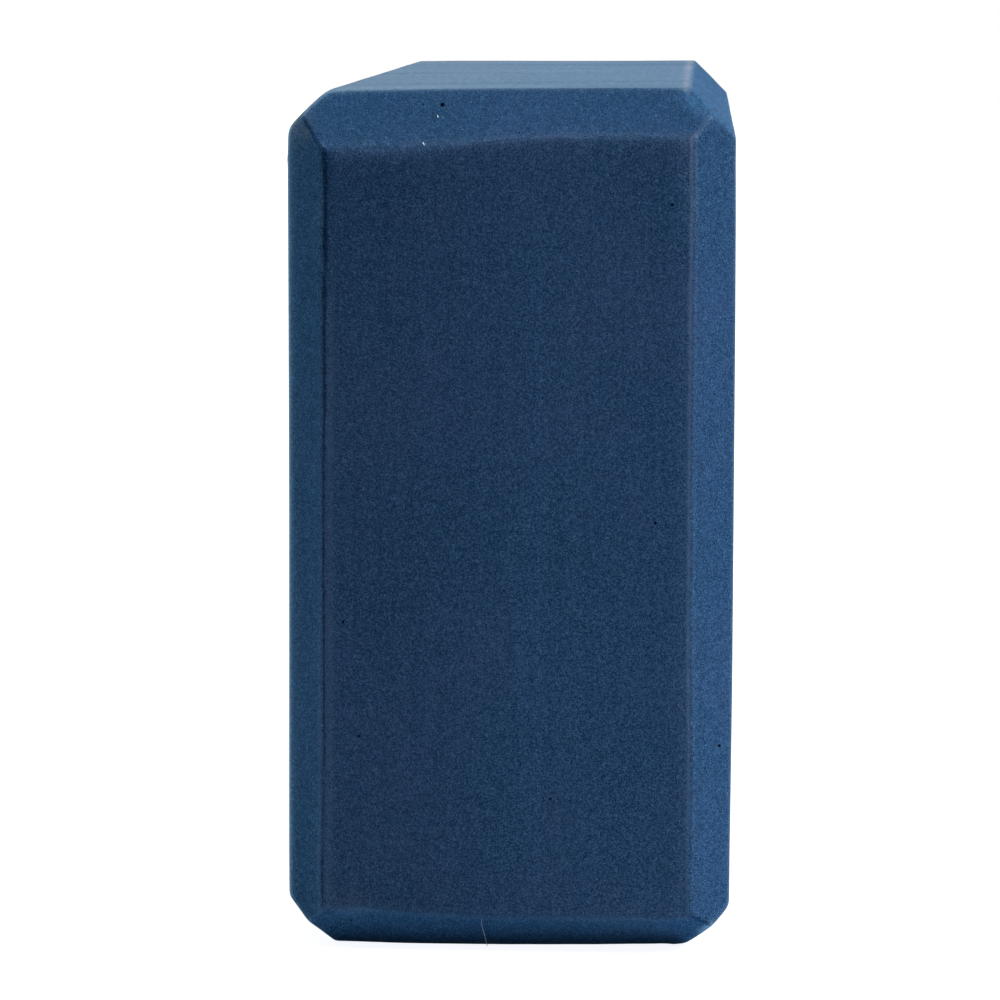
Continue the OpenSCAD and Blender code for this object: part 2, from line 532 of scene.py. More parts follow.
# How deep a cut or a pinhole is where it is at its darkest, and how dark the painted shade makes the foam
# there, in the cuts and in the pinholes placed one by one, whose reach is in millimetres.
DARK_DEPTH = 0.18 * MM
CUT_DARKNESS = 0.42
PIT_DARKNESS = 0.85
PIT_REACH = 0.7

# Beside the score, at each height: how dark the painted shade on its right flank is and how far that reaches,
# and how worn its right lip and its left one are. Heights and reaches are in millimetres.
SCORE_SIDES = [
    (7, 0.0, 0.3, 0.25, 0.4), (26, 0.0, 0.3, 0.42, 0.5), (57, 0.0, 0.3, 0.38, 0.3),
    (83, 0.05, 0.4, 0.33, 0.1), (110, 0.15, 0.5, 0.36, 0.05), (120, 0.3, 0.8, 0.1, 0.1),
    (130, 0.34, 0.9, 0.0, 0.15), (139, 0.42, 1.2, 0.0, 0.0), (141, 0.3, 0.8, 0.0, 0.0),
    (146, 0.2, 0.4, 0.0, 0.0),
]
# How far left of the score's line the painted shade on its right flank starts, in millimetres.
FLANK_START = -0.3
# The lips: how far right of the score each one is, and its reach, in millimetres.
LIP_PLACES = [(1.0, 0.75), (-0.7, 0.4)]
# How much red, green and blue the painted shade takes from the foam where it is darkest: in the cuts and on
# their flanks, and in the pinholes placed one by one.
SHADE = np.array((1.0, 0.6, 0.4))
PIT_SHADE = np.array((1.0, 0.9, 0.82))

# Painted light and shade: how much lighter or darker some of the block's sides are at each height, in
# millimetres.
HEIGHT_SHADES = {
    "front": [(0, 0.07), (20, 0.01), (75, -0.055), (130, -0.115), (150, -0.125)],
    ("front", "left"): [(0, 0.12), (20, 0.1), (75, 0.0), (130, -0.08), (150, -0.1)],
    ("front", "right"): [(0, 0.05), (75, 0.03), (130, -0.04), (150, -0.05)],
}

# The rubbed streak near the top's right end: its x at the front end and at the back one, and its reach,
# in millimetres.
TOP_RUB = (30.35, 29.75, 0.9)
# Painted sheen on the upper left corner, as greyer patches: x, y and z, and the reach of each, in
# millimetres.
CORNER_SHEEN_SPOTS = [(-37.2, -110.5, 144.0, 2.6), (-35.2, -112.0, 142.7, 1.3)]


def furthest_of(cuts):
    """The distance outside whichever of the cuts each point is furthest outside."""
    return np.max(list(cuts.values()), axis=0)


def score_sides(x, z):
    """How dark the painted shade on the score's flank is, and how worn its lips are, at each place on the
    front.
    """
    centres_x, centres_z = np.array(KNIFE_CUTS["score"]).T[:2] * MM
    beside = (x - np.interp(z, centres_z, centres_x)) / MM
    darkness, reach, *lips = along_stops(z / MM, SCORE_SIDES, 1)
    flank = darkness * bell(beside, reach) * (beside > FLANK_START)
    worn = sum(strength * bell(beside - place, width) for strength, (place, width) in zip(lips, LIP_PLACES))
    below_top = z < centres_z[-1]
    return flank * below_top, worn * below_top


def line_between(points, cuts, a, b, axis, stops, width):
    """How strong a line is at each point: one that runs beside the edge where two cuts meet."""
    onto, strength = along_stops(points[:, axis] / MM, stops, 1)
    beside = (cuts[a] - cuts[b]) / MM - onto
    inside = (furthest_of(cuts) - np.maximum(cuts[a], cuts[b])) / EDGE_REACH
    return strength * np.exp(-((beside / width) ** 2) - inside)


def shares_of(cuts):
    """How far each point belongs to each face, bevel and eased facet: shares that add up to 1."""
    furthest = furthest_of(cuts)
    shares = {name: np.exp((distance - furthest) / EDGE_REACH) for name, distance in cuts.items()}
    total = sum(shares.values())
    return {name: share / total for name, share in shares.items()}


def worn_at(points, cuts, lips):
    """How worn the foam is at each point, from 0 to 1."""
    worn = lips + sum(amount * near(points, spot) for *spot, amount in WORN_SPOTS)
    for line in WORN_LINES:
        worn = worn + line_between(points, cuts, *line)
    return np.clip(worn, 0.0, 1.0)


def rim_sheen_at(points, cuts):
    """How strong the painted sheen is at each point, on the edges along the sides and the ridges that end at
    them, and how pale the paler spots on the ridges are.
    """
    rim_sheen = sum(amount * near(points, spot) for *spot, amount in PALER_RIDGE_SPOTS)
    for face, (front, behind, reach) in RIM_SHEENS.items():
        others = furthest_of({name: distance for name, distance in cuts.items() if name != face})
        amount = np.interp(points[:, 1], RIM_PLACES, (front, behind))
        rim_sheen += amount * np.exp(-np.abs(cuts[face] - others) / (reach * MM))
    for (a, b), amount in RIM_RIDGES.items():
        rim_sheen += amount * np.exp(-(furthest_of(cuts) - np.minimum(cuts[a], cuts[b])) / RIM_REACH)
    return rim_sheen


def tint_and_shade_at(points, cuts, shares, flank, depth):
    """The factors for red, green and blue at each point, which carry the painted light and shade."""
    x, y, z = points.T
    tint_and_shade = np.ones_like(points)
    for name, factors in FACE_TINTS.items():
        tint_and_shade += shares[name][:, None] * (np.array(factors) - 1)
    for name, stops in TINTS_ACROSS.items():
        tint_and_shade *= 1 + shares[name][:, None] * np.stack(along_stops(x / MM, stops, 1), axis=1)
    for *line, change in SHADED_LINES:
        tint_and_shade *= 1 + line_between(points, cuts, *line)[:, None] * change
    # Painted shade on the score's flank.
    tint_and_shade *= 1 - flank[:, None] * SHADE
    # Painted shade in the hollows.
    for *spot, amount in DARK_SPOTS:
        tint_and_shade *= 1 - near(points, spot)[:, None] * amount * SHADE
    pits_x, pits_z, _ = np.array(FRONT_PITS).T
    from_pits = np.hypot(x[:, None] / MM - pits_x, z[:, None] / MM - pits_z).min(axis=1)
    in_pit = (depth * (from_pits < PIT_REACH) * (y < 0))[:, None]
    # Painted shade in the cuts and the pinholes.
    tint_and_shade *= 1 - (depth[:, None] - in_pit) * CUT_DARKNESS * SHADE
    tint_and_shade *= 1 - in_pit * PIT_DARKNESS * PIT_SHADE
    return tint_and_shade


def mark_surface(mesh, sizes):
    """Tells the material where the mesh's edges, cuts and pinholes are and where light and shade are painted,
    and smooths what is round.
    """
    places = np.empty(len(mesh.vertices) * 3, np.float32)
    mesh.vertices.foreach_get("co", places)
    places = places.reshape(-1, 3).astype(float)
    x, y, z = places.T
    cuts = cut_distances(places, sizes)
    shares = shares_of(cuts)
    by_score = shares["front"] + shares["front", "left"] + shares["eased_top"] > 0.5
    flank, lips = (mark * by_score for mark in score_sides(x, z))
    depth = np.clip(-form_distance(places, sizes) / DARK_DEPTH, 0.0, 1.0)
    rub_front, rub_back, rub_reach = TOP_RUB
    rub = np.interp(y, (LOW.y, HIGH.y), (rub_front, rub_back))
    marks = {
        "worn": worn_at(places, cuts, lips),
        "rim_sheen": rim_sheen_at(places, cuts),
        "upward": shares["top"],
        "top_rub": shares["top"] ** 3 * bell(x / MM - rub, rub_reach),
        "height_shade": sum(shares[name] * along_stops(z / MM, stops, 1)[0] for name, stops in HEIGHT_SHADES.items()),
        "calm": shares["front", "top"],
        "open": shares["right", "top"],
        "depth": depth,
        # Painted sheen on the upper left corner.
        "greyed": np.max([near(places, spot) for spot in CORNER_SHEEN_SPOTS], axis=0),
        "tint_and_shade": tint_and_shade_at(places, cuts, shares, flank, depth),
    }
    for name, values in marks.items():
        set_mark(mesh, name, values)
    mesh.shade_smooth()
    mesh.set_sharp_from_angle(angle=SHARP_TURN)


# ---- Node trees ----


class Graph:
    """A node tree, with one way to add a node."""

    def __init__(self, tree):
        self.tree = tree

    def node(self, kind, inputs=None, **settings):
        """Adds a node: its settings come first, and then the values or links of its sockets."""
        made = self.tree.nodes.new(kind)
        for name, value in settings.items():
            setattr(made, name, value)
        for key, value in (inputs or {}).items():
            self.feed(self.pick(made.inputs, key), value)
        return made

    def result(self, kind, inputs=None, output=0, **settings):
        """Adds a node and gives one of its outputs."""
        return self.pick(self.node(kind, inputs, **settings).outputs, output)

    def feed(self, socket, value):
        """Links a socket to another one, or sets its own value."""
        if isinstance(value, Value):
            value = value.socket
        if isinstance(value, bpy.types.NodeSocket):
            self.tree.links.new(value, socket)
        else:
            socket.default_value = value

    @staticmethod
    def pick(sockets, key):
        """A socket by its number or its name, of those that the node's settings leave in use."""
        in_use = [socket for socket in sockets if socket.enabled]
        if isinstance(key, int):
            return in_use[key]
        return next(socket for socket in in_use if socket.name == key)

    def value(self, socket):
        """A socket as a value that Python's operators work on."""
        return Value(self, socket)

    def noise(self, vector, scale, detail, roughness):
        """A noise from 0 to 1 on the given coordinates."""
        inputs = {"Vector": vector, "Scale": scale, "Detail": detail, "Roughness": roughness}
        return self.value(self.result("ShaderNodeTexNoise", inputs))

    def attribute(self, name, output="Fac"):
        """What the mesh keeps at each vertex under a name."""
        return self.result(
            "ShaderNodeAttribute", output=output, attribute_type="GEOMETRY", attribute_name=name
        )

    def random_value(self, kind, low, high, seed):
        """A random number or vector for each point or instance."""
        inputs = {"Min": low, "Max": high, "Seed": seed}
        return self.result("FunctionNodeRandomValue", inputs, data_type=kind)

    def store(self, kind, geometry, name, value):
        """The geometry, with a value stored for each point."""
        inputs = {"Geometry": geometry, "Name": name, "Value": value}
        return self.result("GeometryNodeStoreNamedAttribute", inputs, data_type=kind, domain="POINT")

    def stored(self, kind, name):
        """A value that was stored for each point."""
        return self.result("GeometryNodeInputNamedAttribute", {"Name": name}, data_type=kind)

    def held(self, piece):
        """The geometry of an object."""
        return self.result("GeometryNodeObjectInfo", {"Object": piece}, "Geometry")

    def realized(self, geometry):
        """The geometry, with its instances made real."""
        return self.result("GeometryNodeRealizeInstances", {"Geometry": geometry})

    def join(self, *parts):
        """Several geometries as one."""
        made = self.node("GeometryNodeJoinGeometry")
        for part in parts:
            self.feed(made.inputs["Geometry"], part)
        return made.outputs["Geometry"]

    def mix(self, factor, first, second):
        """Two colours mixed."""
        inputs = {"Factor": factor, "A": first, "B": second}
        return self.result("ShaderNodeMix", inputs, "Result", data_type="RGBA")

    def scaled(self, vector, factor):
        """A vector or colour times a number that varies."""
        return self.result("ShaderNodeVectorMath", {0: vector, "Scale": factor}, operation="SCALE")

    def stretched(self, vector, factors):
        """A vector or colour times a factor for each axis or channel."""
        return self.result("ShaderNodeVectorMath", {0: vector, 1: factors}, operation="MULTIPLY")

    def seen_straight(self):
        """1 for rays from the camera, also by way of a mirror or of glass, and 0 for all others."""
        rays = self.node("ShaderNodeLightPath").outputs
        seen = self.value(rays["Is Camera Ray"]) + rays["Is Glossy Ray"] + rays["Is Transmission Ray"]
        return seen.clamped()


class Value:
    """A number in a node tree. Python's operators on it add Math nodes."""

    def __init__(self, graph, socket):
        self.graph = graph
        self.socket = socket

    def math(self, operation, *operands, clamp=False):
        inputs = dict(enumerate(operands))
        return self.made("ShaderNodeMath", inputs, operation=operation, use_clamp=clamp)

    def made(self, kind, inputs, **settings):
        """The value that a new node gives."""
        return Value(self.graph, self.graph.result(kind, inputs, **settings))

    def __add__(self, other):
        return self.math("ADD", self, other)

    __radd__ = __add__

    def __sub__(self, other):
        return self.math("SUBTRACT", self, other)

    def __rsub__(self, other):
        return self.math("SUBTRACT", other, self)

    def __mul__(self, other):
        return self.math("MULTIPLY", self, other)

    __rmul__ = __mul__

    def __truediv__(self, other):
        return self.math("DIVIDE", self, other)

    def __pow__(self, other):
        return self.math("POWER", self, other)

    def clamped(self):
        """The number, held between 0 and 1."""
        return self.math("ADD", self, 0.0, clamp=True)

    def ramp(self, start, end):
        """0 below start and 1 above end, smoothly between."""
        inputs = {"Value": self, "From Min": start, "From Max": end, "To Min": 0.0, "To Max": 1.0}
        return self.made("ShaderNodeMapRange", inputs, interpolation_type="SMOOTHSTEP")


def new_material(name):
    """An empty node material, with its graph and its output's surface socket."""
    material = bpy.data.materials.new(name)
    material.use_nodes = True
    material.node_tree.nodes.clear()
    graph = Graph(material.node_tree)
    output = graph.node("ShaderNodeOutputMaterial")
    return material, graph, output.inputs["Surface"]


# ---- Finishes ----


SCREEN_GAMMA = 2.2


def opaque(tone):
    """A colour property's value with full alpha."""
    return (*tone, 1.0)


def as_seen(tone):
    """A colour property's value as a screen shows it, so that mixes of two look even."""
    return (*(channel ** (1 / SCREEN_GAMMA) for channel in tone), 1.0)


# The numbers that mark_surface stores at the block's vertices for the material.
SURFACE_MARKS = ("worn", "rim_sheen", "upward", "top_rub", "height_shade", "calm", "open", "depth", "greyed")

# The foam's noises: the share of its scale that each one keeps along x, y and z, its scale, its detail and
# its roughness.
EVENLY = (1.0, 1.0, 1.0)
NOISES = {
    "grain": (EVENLY, 4300.0, 1.0, 0.6),
    "clumps": (EVENLY, 720.0, 2.0, 0.6),
    "patches": (EVENLY, 200.0, 3.0, 0.6),
    "clouds": (EVENLY, 38.0, 2.0, 0.5),
    "specks": (EVENLY, 3300.0, 0.0, 0.5),
    "streaks": ((1.0, 1.0, 0.02), 800.0, 3.0, 0.7),
    "lengths": ((1.0, 0.12, 1.0), 1300.0, 2.0, 0.6),
    "sweeps": ((0.2, 1.0, 1.0), 62.0, 2.0, 0.5),
}
# How strongly the cells differ, how much less they do where the foam is calm, how far the extreme ones
# stand out, how light the middle ones are, and how much a speck adds.
CELL_SWING, CALM_LOSS, CELL_EXTREMES, CELL_MIDDLE, SPECK_GAIN = 1.6, 0.5, 8, 0.48, 0.5
# How much of the foam each of the layers covers where it is strongest.
DULL_COVER, WORN_COVER, TOP_SHEEN_COVER, CORNER_SHEEN_COVER, RUB_COVER = 0.3, 0.4, 0.09, 0.2, 0.105
# How strongly each noise lightens and darkens the foam; open cells add to the lengths.
CLUMP_TONE, STREAK_TONE, CLOUD_TONE, LENGTH_TONE, OPEN_TONE, SWEEP_TONE = 0.32, 0.3, 0.15, 0.65, 0.8, 0.5


def foam_material(colours):
    """Skived closed-cell foam: mottled navy, with an open grain, rubbed edges, and painted sheen, light and
    shade.
    """
    material, graph, surface = new_material("navy_foam")
    place = graph.result("ShaderNodeTexCoord", output="Object")
    marks = {name: graph.value(graph.attribute(name)) for name in SURFACE_MARKS}
    noises = [graph.noise(graph.stretched(place, keep), *rest) for keep, *rest in NOISES.values()]
    grain, clumps, patches, clouds, specks, streaks, lengths, sweeps = noises

    swing = grain - 0.5
    cells = swing * (CELL_SWING - marks["calm"] * CALM_LOSS) + swing * swing * swing * CELL_EXTREMES
    cells = (cells + CELL_MIDDLE + specks.ramp(0.68, 0.86) * SPECK_GAIN).clamped()
    foam = graph.mix(cells, as_seen(colours.dark_cells), as_seen(colours.light_cells))
    foam = graph.result("ShaderNodeGamma", {"Color": foam, "Gamma": SCREEN_GAMMA})
    shallow = 1 - marks["depth"].ramp(0.0, 0.5)
    layers = [
        (((patches - 0.5) * 0.5 + (clouds - 0.5) * 0.8).ramp(-0.3, 0.5) * DULL_COVER, colours.violet),
        (marks["worn"] * (grain + patches) * WORN_COVER * shallow, colours.worn),
        # Painted sheen on the edges along the sides.
        (marks["rim_sheen"] * (grain + 0.1), colours.rim_sheen),
        # Painted sheen on the top.
        (marks["upward"] * TOP_SHEEN_COVER, colours.top_sheen),
        # Painted sheen on the upper left corner.
        (marks["greyed"] * (grain + 0.2) * CORNER_SHEEN_COVER, colours.greyed),
        (marks["top_rub"] * (sweeps + 0.3) * RUB_COVER, colours.rubbed_top),
    ]
    for cover, tone in layers:
        foam = graph.mix(cover.clamped(), foam, opaque(tone))

    tone = 1 + (clumps - 0.5) * CLUMP_TONE + (streaks - 0.5) * STREAK_TONE + (clouds - 0.5) * CLOUD_TONE
    tone = tone + (lengths - 0.5) * (LENGTH_TONE + marks["open"] * OPEN_TONE)
    tone = tone + marks["upward"] * (sweeps - 0.5) * SWEEP_TONE
    # Painted light and shade that change with height.
    tone = tone * (1 + marks["height_shade"])
    # The tint carries the painted light and shade that mark_surface works out.
    foam = graph.scaled(graph.stretched(foam, graph.attribute("tint_and_shade", "Vector")), tone)

    bumps = {"Strength": 0.4, "Distance": 0.1 * MM, "Height": grain + clumps}
    inputs = {
        "Base Color": foam,
        "Roughness": (0.8 + (grain - 0.5) * 0.3).clamped(),
        "Diffuse Roughness": 0.1,
        "Specular IOR Level": 0.01,
        "Normal": graph.result("ShaderNodeBump", bumps),
    }
    graph.feed(surface, graph.result("ShaderNodeBsdfPrincipled", inputs))
    return material


def lint_material(colours):
    """Pale cotton fibre."""
    material, graph, surface = new_material("pale_lint")
    place = graph.result("ShaderNodeTexCoord", output="Object")
    fibres = graph.noise(graph.stretched(place, (1.0, 1.0, 0.4)), 9000.0, 2.0, 0.5)
    inputs = {
        "Base Color": graph.scaled(tuple(colours.lint), fibres * 0.5 + 0.75),
        "Roughness": 0.85,
        "Specular IOR Level": 0.3,
    }
    graph.feed(surface, graph.result("ShaderNodeBsdfPrincipled", inputs))
    return material


# ---- Knife cuts and pinholes ----


# The cuts that the blade left in the front as it overran, each as points along it: x and z on the
# block, and the cut's width and depth there, in millimetres.
KNIFE_CUTS = {
    "score": [
        (-32.45, 7.9, 0.3, 0.25), (-32.5, 12.5, 0.28, 0.22), (-32.3, 23.5, 0.32, 0.24),
        (-32.0, 34, 0.34, 0.25), (-32.05, 48, 0.42, 0.3), (-31.95, 83, 0.57, 0.38),
        (-31.72, 97, 0.7, 0.42), (-31.64, 111, 0.74, 0.45), (-31.38, 131, 0.72, 0.45),
        (-31.42, 138.0, 0.8, 0.55), (-31.42, 139.5, 0.75, 0.6), (-31.8, 140.5, 0.6, 0.6),
        (-32.5, 141.5, 0.4, 0.55), (-33.15, 142.25, 0.32, 0.5), (-33.8, 143.05, 0.28, 0.45),
        (-34.45, 143.85, 0.25, 0.4), (-35.0, 144.6, 0.24, 0.3), (-35.25, 145.0, 0.2, 0.2),
    ],
    "lower_left_tick": [(-32.95, 7.15, 0.45, 0.35), (-31.6, 7.05, 0.5, 0.35), (-30.2, 6.95, 0.26, 0.2)],
    "lower_left_ridge": [
        (-36.0, 6.3, 0.16, 0.12), (-35.2, 5.1, 0.26, 0.2), (-34.5, 4.3, 0.26, 0.2), (-33.5, 3.6, 0.2, 0.15),
    ],
    "lower_right_ridge": [(32.1, 7.75, 0.3, 0.2), (33.3, 6.75, 0.55, 0.5), (35.3, 5.3, 0.45, 0.35)],
}
# The length of a cut's steps, how far its wedge rises out of the foam, and how far its deepest line lies
# to the right, as a share of its width.
CUT_STEP = 0.45 * MM
CUT_RISE = 0.3 * MM
CUT_LEAN = 0.2
# How far from a cut's line the surface's slope is taken on each side, and the steps that it is evened over.
SLOPE_REACH = 0.55
EVENED_STEPS = 5
# How far apart the turns of a cut's line and of its width are, how far its width strays, as a share, the
# seed of the first cut's line, and what each cut's width adds to it.
LINE_STEP = 0.9 * MM
WIDTH_STEP = 1.1 * MM
WIDTH_STRAY = 0.25
LINE_SEED = 200
WIDTH_SEED = 20
# How far in front of the block the rays start that find places on its front.
RAY_START = 0.01

# The pinholes that stand out on the front: x and z on the block, and their width, in millimetres.
FRONT_PITS = [
    (-11.6, 147.6, 0.8), (-14.9, 147.6, 0.36), (27.8, 130.9, 0.6), (25.3, 76.3, 0.55), (36.7, 36.7, 0.6),
    (-25.9, 38.4, 0.5), (-27.6, 5.0, 0.62), (7.4, 27.7, 0.5), (13.5, 17.4, 0.4), (-28.6, 58.5, 0.5),
    (5.2, 87.4, 0.38), (7.6, 117.7, 0.3),
]
# How strongly the widths of the pinholes placed at random lean towards the smallest, how far a pinhole is
# stretched at least and at most, and the seeds of its stretch and its turn.
PIT_LEAN = 4
PIT_STRETCHES = ((0.8, 0.8, 1.1), (1.2, 1.2, 1.7))
STRETCH_SEED = 11
TURN_SEED = 3


def surface_point(piece, x, z):
    """The place and normal on a piece's front surface at a given x and z."""
    found, place, normal, _ = piece.ray_cast(Vector((x, LOW.y - RAY_START, z)), Vector((0.0, 1.0, 0.0)))
    if not found:
        raise ValueError(f"nothing of {piece.name} lies at x {x} and z {z}")
    return np.array(place), np.array(normal)


def slope_at(piece, place):
    """The mean of the normals that a piece's surface has round a place."""
    offsets = [Vector((i, 0.0, j)) * SLOPE_REACH * MM for i in (-1, 1) for j in (-1, 1)]
    normals = [np.array(piece.closest_point_on_mesh(place + offset)[2]) for offset in offsets]
    return np.mean(normals, axis=0)


def swept(centres, rings):
    """Vertices and faces of a closed form with a ring of points round each centre."""
    sides = rings.shape[1]
    faces = [tuple(reversed(range(sides)))]
    for base in range(0, (len(centres) - 1) * sides, sides):
        for corner in range(sides):
            following = (corner + 1) % sides
            faces.append((base + corner, base + following, base + sides + following, base + sides + corner))
    last = (len(centres) - 1) * sides
    faces.append(tuple(range(last, last + sides)))
    return (centres[:, None] + rings).reshape(-1, 3), faces


def across_line(centres, normals):
    """Unit vectors across a line on the surface, to the right of its direction as seen from outside."""
    across = np.cross(np.gradient(centres, axis=0), normals)
    return across / np.linalg.norm(across, axis=1)[:, None]


def blade_form(block, stops, ragged, seed):
    """The wedge that a blade cuts away along a line on the front."""
    stops = np.array(stops) * MM
    lengths = np.concatenate([[0.0], np.cumsum(np.linalg.norm(np.diff(stops[:, :2], axis=0), axis=1))])
    along = np.linspace(0.0, lengths[-1], max(int(lengths[-1] / CUT_STEP), 3) + 1)
    x, z, width, depth = (np.interp(along, lengths, column) for column in stops.T)
    x = x + ragged * wave(along / LINE_STEP, seed)
    width = width * (1 + WIDTH_STRAY * wave(along / WIDTH_STEP, seed + WIDTH_SEED))
    centres = np.array([surface_point(block, *place)[0] for place in zip(x, z)])
    normals = np.array([slope_at(block, Vector(centre)) for centre in centres])
    padded = [np.pad(axis, EVENED_STEPS // 2, "edge") for axis in normals.T]
    weights = np.ones(EVENED_STEPS) / EVENED_STEPS
    normals = np.stack([np.convolve(axis, weights, "valid") for axis in padded]).T
    normals = normals / np.linalg.norm(normals, axis=1)[:, None]
    flare = (1 + CUT_RISE / depth)[:, None] * width[:, None] / 2
    across = across_line(centres, normals) * flare
    rise = normals * CUT_RISE
    apex = across_line(centres, normals) * (width * CUT_LEAN)[:, None] - normals * depth[:, None]
    rings = np.stack([rise + across, rise - across, apex], axis=1)
    return swept(centres, rings)


def joined_mesh(name, forms):
    """One mesh of several forms, each with its vertices and faces."""
    vertices = []
    faces = []
    for places, sides in forms:
        faces += [tuple(len(vertices) + corner for corner in side) for side in sides]
        vertices += places.tolist()
    return new_mesh(name, vertices, faces)


def knife_cuts(block, sizes):
    """An object that holds the wedges of all the knife cuts."""
    forms = [
        blade_form(block, stops, sizes.blade_ragged, seed)
        for seed, stops in enumerate(KNIFE_CUTS.values(), LINE_SEED)
    ]
    return bpy.data.objects.new("knife_cuts", joined_mesh("knife_cuts", forms))


def placed_pits(block):
    """An object of one point for each placed pinhole, with its width and the way that it faces."""
    hits = [surface_point(block, x * MM, z * MM) for x, z, _ in FRONT_PITS]
    mesh = new_mesh("placed_pits", [place for place, _ in hits])
    set_mark(mesh, "width", np.array([width for _, _, width in FRONT_PITS]) * MM)
    set_mark(mesh, "facing", np.array([normal for _, normal in hits]))
    return bpy.data.objects.new("placed_pits", mesh)


def cutting_tree():
    """The node tree that cuts into a mesh: pinholes at random, placed pinholes, and knife cuts."""
    tree = bpy.data.node_groups.new("cut_foam", "GeometryNodeTree")
    sockets = {
        "Geometry": "Geometry", "Knife Cuts": "Object", "Placed Pits": "Object", "Foam": "Material",
        "Pits per Square Metre": "Float", "Smallest": "Float", "Largest": "Float", "Seed": "Int",
    }
    for name, kind in sockets.items():
        tree.interface.new_socket(name=name, in_out="INPUT", socket_type="NodeSocket" + kind)
    tree.interface.new_socket(name="Geometry", in_out="OUTPUT", socket_type="NodeSocketGeometry")
    graph = Graph(tree)
    given = graph.node("NodeGroupInput").outputs

    inputs = {"Mesh": given["Geometry"], "Density": given["Pits per Square Metre"], "Seed": given["Seed"]}
    scattered = graph.node("GeometryNodeDistributePointsOnFaces", inputs, distribute_method="RANDOM").outputs
    lot = graph.value(graph.random_value("FLOAT", 0.0, 1.0, given["Seed"]))
    smallest = graph.value(given["Smallest"])
    width = smallest + (graph.value(given["Largest"]) - smallest) * lot ** PIT_LEAN
    strewn = graph.store("FLOAT", scattered["Points"], "width", width)
    strewn = graph.store("FLOAT_VECTOR", strewn, "facing", scattered["Normal"])
    placed = graph.result("GeometryNodeMeshToPoints", {"Mesh": graph.held(given["Placed Pits"])})

    facing = {"Vector": graph.stored("FLOAT_VECTOR", "facing")}
    turn = graph.result("FunctionNodeAlignRotationToVector", facing, axis="Z")
    spin = graph.result("ShaderNodeCombineXYZ", {"Z": graph.random_value("FLOAT", 0.0, math.tau, TURN_SEED)})
    turns = {"Rotation": turn, "Rotate By": spin}
    stretch = graph.random_value("FLOAT_VECTOR", *PIT_STRETCHES, STRETCH_SEED)
    bowls = {
        "Points": graph.join(strewn, placed),
        "Instance": graph.result("GeometryNodeMeshIcoSphere", {"Radius": 1.0, "Subdivisions": 2}),
        "Rotation": graph.result("FunctionNodeRotateRotation", turns, rotation_space="LOCAL"),
        "Scale": graph.scaled(stretch, graph.value(graph.stored("FLOAT", "width")) / 2),
    }
    bowls = graph.realized(graph.result("GeometryNodeInstanceOnPoints", bowls))

    meshes = {"Mesh 1": given["Geometry"], "Mesh 2": graph.join(bowls, graph.held(given["Knife Cuts"]))}
    cut = graph.result("GeometryNodeMeshBoolean", meshes, operation="DIFFERENCE", solver="MANIFOLD")
    finished = {"Geometry": graph.realized(cut), "Material": given["Foam"]}
    graph.node("NodeGroupOutput", {"Geometry": graph.result("GeometryNodeSetMaterial", finished)})
    return tree


def set_modifier_inputs(modifier, values):
    """Sets a node modifier's inputs, found by name, through their identifiers."""
    for item in modifier.node_group.interface.items_tree:
        if item.item_type == "SOCKET" and item.in_out == "INPUT" and item.name in values:
            modifier[item.identifier] = values[item.name]


def settle_modifiers(piece):
    """Turns the piece's evaluated shape into its plain mesh, and removes the modifiers."""
    evaluated = piece.evaluated_get(bpy.context.evaluated_depsgraph_get())
    mesh = bpy.data.meshes.new_from_object(evaluated)
    piece.modifiers.clear()
    piece.data = mesh


# ---- Lint ----


# The lint on the front, a hair on the bottom bevel and two flecks by the top one, each as points along
# it: x and z on the block, how far it stands off the foam there, and its radius, in millimetres.
LINT_LINES = [
    [
        (-4.15, 6.7, 0.0, 0.012), (-4.5, 6.1, 0.0, 0.016), (-4.65, 5.3, 0.0, 0.018), (-4.6, 4.4, 0.0, 0.02),
        (-4.4, 3.3, 0.05, 0.026), (-4.15, 2.2, 0.2, 0.036), (-3.95, 1.2, 0.5, 0.05), (-3.75, 0.3, 0.8, 0.05),
    ],
    [(-14.7, 141.3, 0.0, 0.05), (-14.55, 141.05, 0.05, 0.09), (-14.4, 140.8, 0.0, 0.05)],
    [(-12.4, 145.8, 0.0, 0.06), (-12.3, 145.55, 0.05, 0.08), (-12.25, 145.4, 0.0, 0.05)],
]
FIBRE_SIDES = 6
# How far the middle of a fibre that lies on the foam stands off it, as a share of its radius.
FIBRE_LIFT = 0.8


def fibre_form(block, line):
    """A round fibre that lies along a line on the block's front, or a little off it."""
    hits = [surface_point(block, x * MM, z * MM) for x, z, _, _ in line]
    _, _, off, radii = np.array(line).T * MM
    normals = np.array([normal for _, normal in hits])
    centres = np.array([place for place, _ in hits]) + normals * (off + radii * FIBRE_LIFT)[:, None]
    across = across_line(centres, normals)
    angles = np.arange(FIBRE_SIDES) * math.tau / FIBRE_SIDES
    rings = np.cos(angles)[None, :, None] * normals[:, None] + np.sin(angles)[None, :, None] * across[:, None]
    return swept(centres, rings * radii[:, None, None])


def lint_mesh(block):
    """All the fibres that cling to the front, as one mesh."""
    mesh = joined_mesh("lint", [fibre_form(block, line) for line in LINT_LINES])
    mesh.shade_smooth()
    return mesh


# ---- Stage ----


# Where the key light stands, as seen from the block.
KEY_DIRECTION = (0.7, 0.0, 0.72)


# The floor's colour for the light that it throws on the block, its colour as the camera sees it, which
# only shadows bring out, and the glow that whitens it for the camera.
FLOOR_LIT = (0.41, 0.52, 0.6, 1.0)
FLOOR_SEEN = (0.25, 0.22, 0.1, 1.0)
FLOOR_GLOW = (0.9, 0.92, 0.98, 1.0)
FLOOR_HALF = 4.0
WHITE = (1.0, 1.0, 1.0, 1.0)
# The light from behind sets in between directions of these two y.
BEHIND = (-0.64, 0.22)


